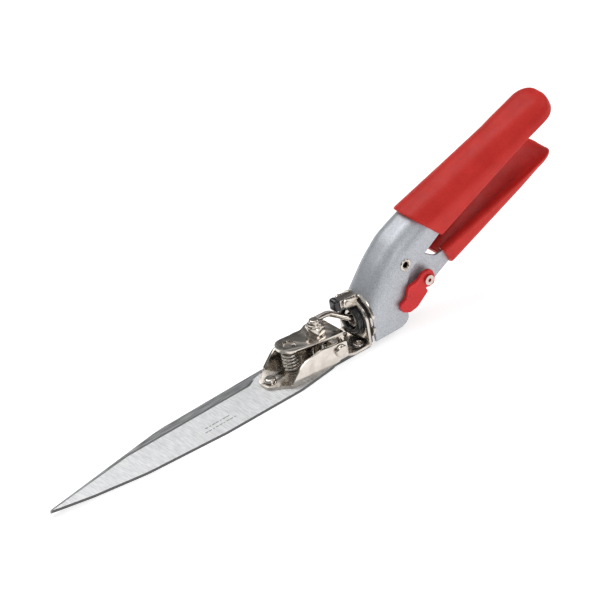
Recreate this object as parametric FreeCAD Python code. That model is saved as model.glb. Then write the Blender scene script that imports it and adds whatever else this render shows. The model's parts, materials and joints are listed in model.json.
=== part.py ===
import FreeCAD, Part
import math
import os

# Grass shears: one-handed shears with a swivelling head, in millimetres.
# +X points to the blade tips, +Y to the left and +Z up. The origin lies on
# the blades' pivot axis, at the flat underside of the lower blade.

Vector = FreeCAD.Vector

# ---- driving dimensions ----

# swivel between head and handle
SWIVEL_Z = 14.5             # height of the swivel axis above the blades' underside
DISC_X = -26.5              # front face of the index plate
DISC_RADIUS = 13.5
INDEX_THICKNESS = 1.5
RING_GAP = 1.3              # room between index plate and head frame, filled by the bush's flange
NOTCH_WIDTH = 5.6
NOTCH_DEPTH = 2.6
BUSH_RADIUS = 9.6
COLLAR_RADIUS = 8.0
COLLAR_LENGTH = 2.6         # how far the bush stands out of the head frame
BUSH_BORE = 5.6
EYELET_RADIUS = 4.6
EYELET_BORE = 3.2
RUNNING_CLEARANCE = 0.05

# sheet metal
SHELL_SHEET = 1.5
LEVER_SHEET = 1.5
FRAME_SHEET = 1.5
CRANK_SHEET = 1.6
CARRIER_SHEET = 1.4

# blades
LOWER_BLADE_THICKNESS = 1.8
UPPER_BLADE_THICKNESS = 1.6
BLADE_GAP = 0.12
BLADE_TIP_X = 174.8
BLADE_HALF_WIDTH = 15.8
BLADE_EDGE_Y = 9.0          # distance of a cutting edge from the centre line
TAIL_HALF_WIDTH = 9.6
BEVEL_WIDTH = 2.4
BEVEL_DEPTH = 0.9

# blade pivot
BOLT_RADIUS = 2.8
BOLT_HEAD_RADIUS = 6.8
BOLT_HEAD_HEIGHT = 1.4
BOLT_END = 2.2              # how far the bolt stands out of the nut
NUT_FLATS = 8.8
NUT_HEIGHT = 4.2
NUT_COLLAR = 1.2
NUT_COLLAR_RADIUS = 3.8
NUT_TURN = 12.0             # degrees that the nut happens to stand at
WASHER_RADIUS = 5.0
WASHER_THICKNESS = 0.7
SPACER_RADIUS = 3.5
SPACER_ROOM = 0.6           # room round the spacer for the blade to tilt
CRANK_TOP_Z = 17.5
BLADE_OPENING = 34.0        # degrees

# pull rod
ROD_RADIUS = 1.6
CRANK_RADIUS = 7.8          # from the pivot axis to the rod's hole in the crank plate
HOLE_LAG = 29.0             # degrees that the hole lies behind abeam when the blades are shut
ROD_HOLE_RADIUS = 2.25
ROD_CLIMB_Z = 19.5          # height of the rod's axis over the crank plate

# crank plate's nose, over the tension spring
NOSE_X = 16.2
NOSE_Y = -1.4
NOSE_RADIUS = 7.2
NOSE_LIFT = 1.7             # how far the plate is bent up at its nose

# frame rivets, and the blade carrier's walls and rivet
FRAME_RIVET_X = -20.3
FRAME_RIVET_Y = 6.6
FRAME_RIVET_RADIUS = 2.0
WALL_INNER_Y = 10.5
WALL_OUTER_Y = 12.0
CARRIER_RIVET_X = 31.8
CARRIER_RIVET_RADIUS = 2.0

# carrier pin, across the crank plate's tabs and the blade carrier's walls
PIN_X = -5.1
PIN_Z = 9.6
PIN_RADIUS = 1.5

# handle
SHELL_HALF_WIDTH = 11.4
SHELL_ROUNDING = 9.0
RIVET_X = -52.4
RIVET_Z = 36.0
RIVET_RADIUS = 2.4
LEVER_HALF_WIDTH = 9.6
GRIP_HALF_WIDTH = 12.8
VINYL = 1.4                 # thickness of the vinyl inside the two channels
UPPER_END_ROUNDING = 8.0
LOWER_END_ROUNDING = 11.5
RIDGE_DEPTH = 60.0          # depth of the long solids that round a grip's edges
LOCK_PIN_X = -63.5
LOCK_PIN_Z = 22.4
LOCK_PIN_RADIUS = 1.9
LOCK_INNER_Y = 11.7
LOCK_THICKNESS = 2.0

# swivel latch
LATCH_PIN_X = -19.0
LATCH_PIN_Z = SWIVEL_Z + 12.6
LATCH_PIN_RADIUS = 1.1
LATCH_HALF_WIDTH = 2.4
EAR_SHEET = 1.2

# ---- sizes worked out from them ----

RING_X = DISC_X + RING_GAP                     # rear face of the head frame's ring
FRAME_TOP_Z = LOWER_BLADE_THICKNESS + FRAME_SHEET
UPPER_BLADE_Z = LOWER_BLADE_THICKNESS + BLADE_GAP
CARRIER_Z = UPPER_BLADE_Z + UPPER_BLADE_THICKNESS
CARRIER_FLOOR_Z = CARRIER_Z + CARRIER_SHEET
CRANK_Z = CRANK_TOP_Z - CRANK_SHEET
NUT_BASE_Z = CRANK_TOP_Z + RUNNING_CLEARANCE + WASHER_THICKNESS
SPRING_SEAT_Z = CRANK_Z + NOSE_LIFT * 0.6      # underside of the nose over the spring
SHUT_ANGLE = math.radians(-90.0 - HOLE_LAG)
OPEN_ANGLE = SHUT_ANGLE + math.radians(BLADE_OPENING)
ROD_HOOK_X = CRANK_RADIUS * math.cos(SHUT_ANGLE)
ROD_HOOK_Y = CRANK_RADIUS * (math.sin(SHUT_ANGLE) + math.sin(OPEN_ANGLE)) / 2
ROD_STROKE = CRANK_RADIUS * (math.cos(OPEN_ANGLE) - math.cos(SHUT_ANGLE))
ARM_HEIGHT = RIVET_Z - SWIVEL_Z
HALF_HANDLE = math.asin(ROD_STROKE / 2 / ARM_HEIGHT)
PICKUP_X = RIVET_X - ARM_HEIGHT * math.tan(HALF_HANDLE)


# ---- helpers ----

def corner_rounding(points, radii):
    """Half angle and reach along the sides of each rounded corner, kept within its sides."""
    count = len(points)
    halves = []
    reaches = []
    for index in range(count):
        before = points[index - 1] - points[index]
        after = points[(index + 1) % count] - points[index]
        half = before.getAngle(after) / 2
        halves.append(half)
        reaches.append(radii[index] / math.tan(half) if half < math.radians(88.5) else 0)
    fitted = []
    for index in range(count):
        room = 1.0
        for near, far in ((index, index - 1), (index, (index + 1) % count)):
            length = (points[near] - points[far]).Length
            room = min(room, 0.998 * length / max(reaches[near] + reaches[far], 1e-9))
        fitted.append(reaches[index] * min(room, 1.0))
    return halves, fitted


def rounded_wire(corners, to_point):
    """Closed outline through corners (u, v, radius), each rounded by its radius."""
    points = [Vector(u, v, 0) for u, v, radius in corners]
    halves, reaches = corner_rounding(points, [radius for u, v, radius in corners])
    count = len(corners)
    ends = []
    for index, corner in enumerate(points):
        before = (points[index - 1] - corner).normalize()
        after = (points[(index + 1) % count] - corner).normalize()
        reach = reaches[index]
        if reach == 0:
            ends.append((corner, None, corner))
            continue
        radius = reach * math.tan(halves[index])
        middle = (before + after).normalize() * (radius / math.sin(halves[index]) - radius)
        ends.append((corner + before * reach, corner + middle, corner + after * reach))
    edges = []
    for index in range(count):
        start, middle, finish = ends[index]
        if middle is not None:
            edges.append(Part.Arc(to_point(start), to_point(middle), to_point(finish)).toShape())
        following = ends[(index + 1) % count][0]
        if (following - finish).Length > 1e-6:
            edges.append(Part.makeLine(to_point(finish), to_point(following)))
    return Part.Wire(edges)


def side_plate(corners, y_low, y_high):
    """Plate with an (x, z) outline, between two planes across Y."""
    wire = rounded_wire(corners, lambda p: Vector(p.x, y_low, p.y))
    return Part.Face(wire).extrude(Vector(0, y_high - y_low, 0))


def flat_plate(corners, z_low, z_high):
    """Plate with an (x, y) outline, between two heights."""
    wire = rounded_wire(corners, lambda p: Vector(p.x, p.y, z_low))
    return Part.Face(wire).extrude(Vector(0, 0, z_high - z_low))


def front_plate(corners, x_low, x_high):
    """Plate with a (y, z) outline, between two planes across X."""
    wire = rounded_wire(corners, lambda p: Vector(x_low, p.x, p.y))
    return Part.Face(wire).extrude(Vector(x_high - x_low, 0, 0))


def block(x_low, x_high, y_low, y_high, z_low, z_high):
    corner = Vector(x_low, y_low, z_low)
    return Part.makeBox(x_high - x_low, y_high - y_low, z_high - z_low, corner)


def rod_x(x_low, x_high, radius, y=0, z=SWIVEL_Z):
    return Part.makeCylinder(radius, x_high - x_low, Vector(x_low, y, z), Vector(1, 0, 0))


def rod_y(x, z, y_low, y_high, radius):
    return Part.makeCylinder(radius, y_high - y_low, Vector(x, y_low, z), Vector(0, 1, 0))


def rod_z(x, y, z_low, z_high, radius):
    return Part.makeCylinder(radius, z_high - z_low, Vector(x, y, z_low), Vector(0, 0, 1))


def tube_path(points, bends):
    """Wire through points, with an arc of the given radius at each inner point."""
    edges = []
    start = points[0]
    for index in range(1, len(points) - 1):
        corner = points[index]
        before = (points[index - 1] - corner).normalize()
        after = (points[index + 1] - corner).normalize()
        half = before.getAngle(after) / 2
        radius = bends[index - 1]
        reach = radius / math.tan(half)
        entry = corner + before * reach
        leave = corner + after * reach
        middle = corner + (before + after).normalize() * (radius / math.sin(half) - radius)
        edges.append(Part.makeLine(start, entry))
        edges.append(Part.Arc(entry, middle, leave).toShape())
        start = leave
    edges.append(Part.makeLine(start, points[-1]))
    return Part.Wire(edges)


def wire_rod(points, bends, radius):
    """Round wire bent along a path."""
    path = tube_path(points, bends)
    direction = points[1] - points[0]
    profile = Part.Wire(Part.makeCircle(radius, points[0], direction))
    return path.makePipeShell([profile], True, True)


def helix_spring(mean_radius, wire_radius, height, turns, place):
    """Round-wire coil that stands along +Z from its place."""
    helix = Part.makeHelix(height / turns, height, mean_radius)
    start = Vector(mean_radius, 0, 0)
    profile = Part.Wire(Part.makeCircle(wire_radius, start, Vector(0, 1, 0)))
    coil = Part.Wire(helix.Edges).makePipeShell([profile], True, True)
    coil.translate(place)
    return coil


def shifted(corners, distance):
    """Open outline moved inwards by a distance, to the right of its direction."""
    moved = []
    for index, (u, v, radius) in enumerate(corners):
        before = corners[max(index - 1, 0)]
        after = corners[min(index + 1, len(corners) - 1)]
        normals = []
        for first, second in ((before, corners[index]), (corners[index], after)):
            run = Vector(second[0] - first[0], second[1] - first[1], 0)
            if run.Length > 0:
                run.normalize()
                normals.append(Vector(run.y, -run.x, 0))
        mean = normals[0]
        if len(normals) == 2:
            mean = (normals[0] + normals[1]).normalize()
        reach = distance / (mean * normals[0])
        moved.append((u + mean.x * reach, v + mean.y * reach, max(radius - distance, 0)))
    return moved


def round_long_edges(solid, radius, chosen):
    """Fillet the edges whose middle passes the chosen test."""
    edges = [edge for edge in solid.Edges if chosen(edge)]
    return solid.makeFillet(radius, edges)


def edge_middle(edge):
    return edge.valueAt((edge.FirstParameter + edge.LastParameter) / 2)


def save(name, solid):
    solid = solid.removeSplitter() if solid.ShapeType != "Compound" else solid
    solid.exportStep("parts/" + name + ".step")
    print(name, solid.isValid(), round(solid.Volume, 1), len(solid.Solids))
    return solid


# ---- handle: upper lever, grip and swivel ----

# outline of the shell's top, from the swivel back to the end of its tang
SHELL_TOP = [
    (DISC_X - INDEX_THICKNESS, 26.4, 0),
    (-38.2, 38.4, 60.0),
    (-49.6, 48.4, 26.0),
    (-63.8, 54.6, 60.0),
    (-146.0, 78.5, 0),
]
# outline of the shell's lower edge, from the tang's end forward
SHELL_BOTTOM = [
    (-146.0, 73.8, 0),
    (-130.0, 67.0, 0),
    (-76.8, 43.4, 0),
    (-64.7, 36.0, 3.0),
    (-54.9, 31.6, 6.0),
    (-50.0, 20.8, 10.0),
    (-49.9, 4.4, 4.0),
    (-44.9, 2.4, 4.0),
    (DISC_X - INDEX_THICKNESS, 2.4, 0),
]


def body_shell():
    """Upper lever: a sheet-steel inverted U that runs back as a tang inside the grip."""
    outside = side_plate(SHELL_TOP + SHELL_BOTTOM, -SHELL_HALF_WIDTH, SHELL_HALF_WIDTH)
    outside = round_long_edges(outside, SHELL_ROUNDING, is_top_edge)
    cavity_top = shifted(SHELL_TOP, -SHELL_SHEET)
    floor = [(-170.0, -10.0, 0), (0.0, -10.0, 0)]
    inner_half = SHELL_HALF_WIDTH - SHELL_SHEET
    cavity = side_plate(extended(cavity_top) + floor, -inner_half, inner_half)
    cavity = round_long_edges(cavity, SHELL_ROUNDING - SHELL_SHEET, is_top_edge)
    bore = rod_y(RIVET_X, RIVET_Z, -20, 20, RIVET_RADIUS)
    return outside.cut(cavity).cut(bore)


def extended(corners):
    """The same outline with its two ends drawn out along their own directions."""
    first = Vector(corners[0][0] - corners[1][0], corners[0][1] - corners[1][1], 0).normalize()
    last = Vector(corners[-1][0] - corners[-2][0], corners[-1][1] - corners[-2][1], 0).normalize()
    front = (corners[0][0] + first.x * 12, corners[0][1] + first.y * 12, 0)
    rear = (corners[-1][0] + last.x * 12, corners[-1][1] + last.y * 12, 0)
    return [front] + corners[1:-1] + [rear]


def is_top_edge(edge):
    """True for the two chains of edges along the top of the shell's outline."""
    middle = edge_middle(edge)
    ends = [vertex.Point for vertex in edge.Vertexes]
    lies_on_a_side = all(abs(point.y - middle.y) < 0.01 for point in ends) and abs(middle.y) > 1
    runs_along = abs(ends[0].x - ends[-1].x) > 0.05
    # this line rises from the shell's front top towards its rear, under the top edges only
    if middle.x < -40.0:
        divide_z = 44.0 - 0.36 * (middle.x + 60.0)
    else:
        divide_z = 20.0 - 0.36 * (middle.x + 60.0)
    return lies_on_a_side and runs_along and middle.z > divide_z


UPPER_GRIP = [
    (-62.2, 57.0, 0),
    (-145.5, 81.6, 60.0),
    (-156.5, 83.6, 5.0),
    (-160.0, 76.0, 4.0),
    (-152.0, 73.6, 8.0),
    (-130.0, 64.8, 0),
    (-77.0, 41.4, 0),
]
LOWER_GRIP = [
    (-76.8, 33.0, 0),
    (-153.5, 54.1, 0.8),
    (-153.5, 51.8, 0.8),
    (-80.8, 22.6, 0),
]


def ridge(start, finish, half_width, rounding, upward):
    """Long solid behind a straight crest from start to finish, with two rounded outer edges."""
    along = finish - start
    outward = Vector(0, 1, 0).cross(along).normalize() * (1 if upward else -1)
    corners = [(-half_width, 0, rounding), (half_width, 0, rounding),
               (half_width, -RIDGE_DEPTH, 0), (-half_width, -RIDGE_DEPTH, 0)]
    wire = rounded_wire(corners, lambda p: start + Vector(0, p.x, 0) + outward * p.y)
    return Part.Face(wire).extrude(along)


def sleeve(outline, crest, keel, crest_rounding, keel_rounding, end_rounding):
    """Vinyl block of a grip, with rounded long edges and a rounded end."""
    block_of_vinyl = side_plate(outline, -GRIP_HALF_WIDTH, GRIP_HALF_WIDTH)
    for line, rounding, upward in ((crest, crest_rounding, True), (keel, keel_rounding, False)):
        start = Vector(line[0][0], 0, line[0][1])
        run = Vector(line[1][0], 0, line[1][1]) - start
        rounded = ridge(start - run, start + run * 3, GRIP_HALF_WIDTH, rounding, upward)
        block_of_vinyl = block_of_vinyl.common(rounded)
    rear_x = min(x for x, z, radius in outline)
    plan = [(rear_x, -GRIP_HALF_WIDTH, end_rounding), (rear_x, GRIP_HALF_WIDTH, end_rounding),
            (-50.0, GRIP_HALF_WIDTH, 0), (-50.0, -GRIP_HALF_WIDTH, 0)]
    return block_of_vinyl.common(flat_plate(plan, 0, 120.0))


def upper_grip():
    """Vinyl over the shell's tang, inside and out; its underside is an open channel."""
    crest = UPPER_GRIP[0:2]
    keel = (UPPER_GRIP[6], UPPER_GRIP[5])
    grip = sleeve(UPPER_GRIP, crest, keel, 9.4, 3.0, UPPER_END_ROUNDING)
    half = SHELL_HALF_WIDTH - SHELL_SHEET - VINYL
    roof_drop = SHELL_SHEET + VINYL + 0.2
    channel = ridge(Vector(-55.0, 0, 52.0 - roof_drop), Vector(-140.0, 0, 76.7 - roof_drop), half, 6.1, True)
    return grip.cut(channel).cut(body_shell())


def lower_grip():
    """Vinyl over the lever's rear part, inside and out; its top is a channel that ends as a spoon."""
    crest = LOWER_GRIP[0:2]
    keel = (LOWER_GRIP[3], LOWER_GRIP[2])
    grip = sleeve(LOWER_GRIP, crest, keel, 2.0, 3.6, LOWER_END_ROUNDING)
    half = LEVER_HALF_WIDTH - LEVER_SHEET - VINYL
    channel = ridge(Vector(-60.0, 0, 18.4), Vector(-142.0, 0, 51.9), half, 2.4, False)
    return grip.cut(channel).cut(lower_lever())


def index_plate():
    """Notched disc on the front of the shell; its notches hold the head at each quarter turn."""
    back = DISC_X - INDEX_THICKNESS
    plate = rod_x(back, DISC_X, DISC_RADIUS)
    plate = plate.cut(rod_x(back, DISC_X, EYELET_RADIUS))
    notch = block(back, DISC_X, -NOTCH_WIDTH / 2, NOTCH_WIDTH / 2,
                  SWIVEL_Z + DISC_RADIUS - NOTCH_DEPTH, SWIVEL_Z + DISC_RADIUS + 1)
    for turn in (0, 90, -90):
        turned = notch.copy()
        turned.rotate(Vector(0, 0, SWIVEL_Z), Vector(1, 0, 0), turn)
        plate = plate.cut(turned)
    return plate


def swivel_eyelet():
    """Rolled tube through index plate, bush and frame, with a rim at each end."""
    front = RING_X + FRAME_SHEET + 1.2
    back = DISC_X - INDEX_THICKNESS - 1.2
    tube = rod_x(back, front, EYELET_RADIUS)
    tube = tube.fuse(rod_x(back, DISC_X - INDEX_THICKNESS, EYELET_RADIUS + 1.5))
    return tube.cut(rod_x(back, front, EYELET_BORE))


def handle_rivet():
    """Tubular rivet across the shell with a rolled head on each side."""
    reach = SHELL_HALF_WIDTH
    shank = rod_y(RIVET_X, RIVET_Z, -reach, reach, RIVET_RADIUS)
    rivet = shank
    for side in (-1, 1):
        head = Part.makeTorus(2.6, 0.7, Vector(RIVET_X, side * reach, RIVET_Z), Vector(0, 1, 0))
        low = min(side * reach, side * (reach + 1.0))
        keep = rod_y(RIVET_X, RIVET_Z, low, low + 1.0, 4.5)
        rivet = rivet.fuse(head.common(keep))
    return rivet.cut(rod_y(RIVET_X, RIVET_Z, -reach - 1.5, reach + 1.5, 1.7))


def handle_spring():
    """Torsion spring round the rivet, with a leg under the shell and a leg on the lever's web."""
    coil = helix_spring(4.2, 0.7, 9.0, 6, Vector(0, 0, -4.5))
    coil.rotate(Vector(0, 0, 0), Vector(1, 0, 0), -90)
    coil.translate(Vector(RIVET_X, 0, RIVET_Z))
    upper_leg = wire_rod([Vector(RIVET_X - 1, 5.2, RIVET_Z + 4.2), Vector(-65.0, 5.2, 44.0),
                          Vector(-70.4, 5.2, 46.6)], [12.0], 0.7)
    lower_leg = wire_rod([Vector(RIVET_X - 1, -5.2, RIVET_Z - 4.2), Vector(-66.0, -5.2, 25.0),
                          Vector(-74.0, -5.2, 25.2)], [12.0], 0.7)
    return Part.makeCompound([coil, upper_leg, lower_leg])


# ---- lower handle and lock ----

LEVER_TOP = [
    (-134.0, 48.0, 0),
    (-78.2, 31.0, 3.0),
    (-72.6, 30.3, 4.0),
    (-66.0, 35.2, 6.0),
    (-57.2, 39.7, 4.0),
    (-48.7, 39.7, 4.0),
    (-47.6, 30.0, 10.0),
]
LEVER_BOTTOM = [
    (-47.8, 10.4, 2.0),
    (-56.2, 10.4, 2.5),
    (-69.7, 17.9, 12.0),
    (-81.4, 23.8, 12.0),
    (-134.0, 45.1, 0),
]


def lower_lever():
    """Lower lever: a sheet-steel U, open upwards, with a slotted web that drives the pull rod."""
    outline = LEVER_TOP + LEVER_BOTTOM
    outside = side_plate(outline, -LEVER_HALF_WIDTH, LEVER_HALF_WIDTH)
    inner_half = LEVER_HALF_WIDTH - LEVER_SHEET
    hollow_bottom = shifted(LEVER_BOTTOM[1:], -LEVER_SHEET)
    hollow = [(-160.0, hollow_bottom[-1][1] + 4.5, 0), (-160.0, 90.0, 0), (-30.0, 90.0, 0), (-30.0, 4.0, 0),
              (hollow_bottom[0][0], 4.0, 0)] + hollow_bottom[:-1]
    lever = outside.cut(side_plate(hollow, -inner_half, inner_half))
    web = block(PICKUP_X - 0.8, PICKUP_X + 0.8, -inner_half, inner_half, 10.9, SWIVEL_Z + 5.5)
    lever = lever.fuse(web)
    slot = block(PICKUP_X - 2, PICKUP_X + 2, -ROD_RADIUS - 0.4, ROD_RADIUS + 0.4,
                 SWIVEL_Z - ROD_RADIUS - 0.7, SWIVEL_Z + ROD_RADIUS + 0.9)
    lever = lever.cut(slot)
    lever = lever.cut(rod_y(RIVET_X, RIVET_Z, -20, 20, RIVET_RADIUS + RUNNING_CLEARANCE))
    return lever.cut(rod_y(LOCK_PIN_X, LOCK_PIN_Z, 0, 20, LOCK_PIN_RADIUS))


def lock_pin():
    """Stepped pin riveted into the lever's left wall; the lock lever turns on it."""
    inner = LEVER_HALF_WIDTH - LEVER_SHEET
    outer = LOCK_INNER_Y + LOCK_THICKNESS + 0.2
    pin = rod_y(LOCK_PIN_X, LOCK_PIN_Z, inner - 0.8, outer, LOCK_PIN_RADIUS)
    pin = pin.fuse(rod_y(LOCK_PIN_X, LOCK_PIN_Z, LEVER_HALF_WIDTH, LOCK_INNER_Y - 0.2, 3.2))
    head = rod_y(LOCK_PIN_X, LOCK_PIN_Z, outer, outer + 0.9, 2.7)
    pin = pin.fuse(head)
    return pin.cut(rod_y(LOCK_PIN_X, LOCK_PIN_Z, outer - 1.5, outer + 2, 1.0))


def lock_lever():
    """Plastic lever with a ring round its pin, a broad body and a thumb tail."""
    outline = [(-67.8, 22.6, 3.0), (-66.6, 28.8, 3.5), (-59.9, 28.8, 3.0), (-56.1, 25.8, 6.0),
               (-50.6, 24.0, 3.0), (-48.4, 18.0, 2.4), (-44.2, 16.4, 1.4), (-45.2, 11.8, 2.4),
               (-49.6, 9.7, 3.0), (-54.4, 10.4, 5.0), (-62.6, 16.2, 2.0), (-61.0, 18.8, 0.8),
               (-63.4, 18.2, 1.0), (-66.8, 18.6, 2.0)]
    plate = side_plate(outline, LOCK_INNER_Y, LOCK_INNER_Y + LOCK_THICKNESS)
    bore = rod_y(LOCK_PIN_X, LOCK_PIN_Z, 0, 20, LOCK_PIN_RADIUS + RUNNING_CLEARANCE)
    return plate.cut(bore)


# ---- head: frame, bush, latch pin, lower blade and pivot ----

def head_frame():
    """Bent nickel plate: a base on the lower blade, a ring round the bush and two latch ears."""
    ring_front = RING_X + FRAME_SHEET
    half = DISC_RADIUS - 2.1
    base = flat_plate([(RING_X, -half, 0), (-13.5, -half, 3.0), (-9.5, -8.0, 3.0), (-9.5, 8.0, 3.0),
                       (-13.5, half, 3.0), (RING_X, half, 0)], LOWER_BLADE_THICKNESS, FRAME_TOP_Z)
    drop = LOWER_BLADE_THICKNESS - SWIVEL_Z
    ring = front_plate([(-half, drop + SWIVEL_Z, 0), (half, drop + SWIVEL_Z, 0),
                        (half, SWIVEL_Z + half - 0.6, half - 0.8),
                        (-half, SWIVEL_Z + half - 0.6, half - 0.8)], RING_X, ring_front)
    frame = base.fuse(ring)
    for side in (-1, 1):
        inner = side * (LATCH_HALF_WIDTH + 0.3)
        low = min(inner, inner + side * EAR_SHEET)
        ear = side_plate([(RING_X, SWIVEL_Z + 7.5, 0), (-20.8, SWIVEL_Z + 9.0, 2.0),
                          (-16.6, LATCH_PIN_Z - 1.6, 2.2), (-17.0, LATCH_PIN_Z + 2.6, 2.2),
                          (RING_X, SWIVEL_Z + 13.0, 0)], low, low + EAR_SHEET)
        frame = frame.fuse(ear)
    frame = frame.cut(rod_x(RING_X - 1, ring_front + 1, BUSH_RADIUS))
    frame = frame.cut(rod_y(LATCH_PIN_X, LATCH_PIN_Z, -20, 20, LATCH_PIN_RADIUS))
    slot_half = half - 2.5
    slot_top = FRAME_TOP_Z + 1.4
    frame = frame.cut(block(RING_X - 1, ring_front + 1, -slot_half, slot_half, FRAME_TOP_Z, slot_top))
    for side in (-1, 1):
        frame = frame.cut(rod_z(FRAME_RIVET_X, side * FRAME_RIVET_Y, 0, 10, FRAME_RIVET_RADIUS))
    return frame


def frame_rivets():
    """Two tubular rivets that hold the frame to the lower blade's tail."""
    rivets = []
    for side in (-1, 1):
        y = side * FRAME_RIVET_Y
        rivet = rod_z(FRAME_RIVET_X, y, 0, FRAME_TOP_Z, FRAME_RIVET_RADIUS)
        rim = Part.makeTorus(2.2, 0.6, Vector(FRAME_RIVET_X, y, FRAME_TOP_Z), Vector(0, 0, 1))
        rim = rim.common(rod_z(FRAME_RIVET_X, y, FRAME_TOP_Z, FRAME_TOP_Z + 1, 4))
        rivet = rivet.fuse(rim).cut(rod_z(FRAME_RIVET_X, y, -1, 9, 1.3))
        rivets.append(rivet)
    return Part.makeCompound(rivets)


def swivel_bush():
    """Plastic bush: a flange between index plate and frame, and a thick collar in front."""
    back = DISC_X + 0.1
    front = RING_X + FRAME_SHEET + COLLAR_LENGTH
    half = DISC_RADIUS - 2.7
    flange = front_plate([(-half, FRAME_TOP_Z - 0.5, 0), (half, FRAME_TOP_Z - 0.5, 0),
                          (half, SWIVEL_Z + half, half - 0.2), (-half, SWIVEL_Z + half, half - 0.2)],
                         back, RING_X)
    body = rod_x(back, RING_X + FRAME_SHEET, BUSH_RADIUS)
    collar = rod_x(back, front, COLLAR_RADIUS)
    front_rim = [edge for edge in collar.Edges if abs(edge_middle(edge).x - front) < 0.01]
    collar = collar.makeFillet(0.7, front_rim)
    bush = flange.fuse(body).fuse(collar)
    bush = bush.cut(rod_x(DISC_X, front, EYELET_RADIUS + RUNNING_CLEARANCE))
    return bush.cut(rod_x(RING_X + FRAME_SHEET - 0.4, front + 1, BUSH_BORE))


def latch_pin():
    """Cross pin through the frame's ears, peened at both ends."""
    reach = LATCH_HALF_WIDTH + 0.3 + EAR_SHEET + 0.5
    return rod_y(LATCH_PIN_X, LATCH_PIN_Z, -reach, reach, LATCH_PIN_RADIUS)


def lower_blade():
    """Fixed blade: broad at the back, ground along its hidden edge, with a tail under the frame."""
    outline = [(RING_X, -TAIL_HALF_WIDTH, 0), (-6.0, -TAIL_HALF_WIDTH, 8.0), (12.0, -13.0, 20.0),
               (24.0, -BLADE_HALF_WIDTH, 30.0), (93.7, -14.6, 60.0), (BLADE_TIP_X, -1.6, 1.4),
               (BLADE_TIP_X, 1.2, 1.4), (120.0, 8.4, 40.0), (22.0, BLADE_EDGE_Y, 0),
               (RING_X, TAIL_HALF_WIDTH, 0)]
    blade = flat_plate(outline, 0, LOWER_BLADE_THICKNESS)
    blade = blade.cut(rod_z(0, 0, -1, 5, BOLT_RADIUS))
    for side in (-1, 1):
        blade = blade.cut(rod_z(FRAME_RIVET_X, side * FRAME_RIVET_Y, -1, 5, FRAME_RIVET_RADIUS))
    return blade.cut(edge_bevel(1, 0, -1))


def edge_bevel(side, face_z, inward):
    """Wedge that leaves a bevel on a blade's cutting edge, from a flat face inwards."""
    start_x = 40.0
    taper_x = 120.0
    reach = BEVEL_WIDTH
    outer = BLADE_EDGE_Y + 1.0
    drop = BEVEL_DEPTH * inward
    tip_y = 1.0
    sections = []
    for x, edge_y in ((start_x - 6.0, outer + 3.2), (start_x, outer), (taper_x, outer - 0.4),
                      (BLADE_TIP_X + 2.0, tip_y + 0.9)):
        inner_y = edge_y - 1.0 - reach
        lower = face_z - drop * (outer - inner_y) / reach
        points = [Vector(x, side * inner_y, face_z), Vector(x, side * edge_y, lower),
                  Vector(x, side * edge_y, face_z + 4 * drop), Vector(x, side * inner_y, face_z + 4 * drop)]
        sections.append(Part.makePolygon(points + [points[0]]))
    return Part.makeLoft(sections, True, True)


def rounded_rim(solid, at_z, radius):
    """Fillet the edges of a solid that lie at one height."""
    level = [edge for edge in solid.Edges if edge.BoundBox.ZLength < 0.01]
    rim = [edge for edge in level if abs(edge.BoundBox.ZMin - at_z) < 0.01]
    return solid.makeFillet(radius, rim)


def pivot_bolt():
    """Bolt with a low flat head under the lower blade and a domed end above the nut."""
    top = NUT_BASE_Z + NUT_HEIGHT + NUT_COLLAR + BOLT_END
    shank = rounded_rim(rod_z(0, 0, -0.5, top, BOLT_RADIUS), top, 1.0)
    head = rod_z(0, 0, -BOLT_HEAD_HEIGHT, 0, BOLT_HEAD_RADIUS)
    return shank.fuse(rounded_rim(head, -BOLT_HEAD_HEIGHT, 1.0))


def pivot_nut():
    """Lock nut: a chamfered hexagon with a round collar on top."""
    corner = NUT_FLATS / math.sqrt(3)
    angles = [math.radians(60 * step + NUT_TURN) for step in range(6)]
    corners = [(corner * math.cos(angle), corner * math.sin(angle), 0) for angle in angles]
    nut = flat_plate(corners, NUT_BASE_Z, NUT_BASE_Z + NUT_HEIGHT)
    cone_foot = Vector(0, 0, NUT_BASE_Z - 1.0)
    nut = nut.common(Part.makeCone(corner + 2.2, corner - 0.7, NUT_HEIGHT + 1.0, cone_foot))
    top = NUT_BASE_Z + NUT_HEIGHT + NUT_COLLAR
    collar = rounded_rim(rod_z(0, 0, NUT_BASE_Z, top, NUT_COLLAR_RADIUS), top, 0.5)
    return nut.fuse(collar).cut(rod_z(0, 0, NUT_BASE_Z - 1, top + 1, BOLT_RADIUS))


def pivot_washer():
    base = CRANK_TOP_Z + RUNNING_CLEARANCE
    disc = rod_z(0, 0, base, base + WASHER_THICKNESS, WASHER_RADIUS)
    return disc.cut(rod_z(0, 0, base - 1, base + 2, BOLT_RADIUS))


def bolt_spacer():
    tube = rod_z(0, 0, LOWER_BLADE_THICKNESS, CRANK_Z - RUNNING_CLEARANCE, SPACER_RADIUS)
    return tube.cut(rod_z(0, 0, 0, 20, BOLT_RADIUS))


# ---- latch ----

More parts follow.
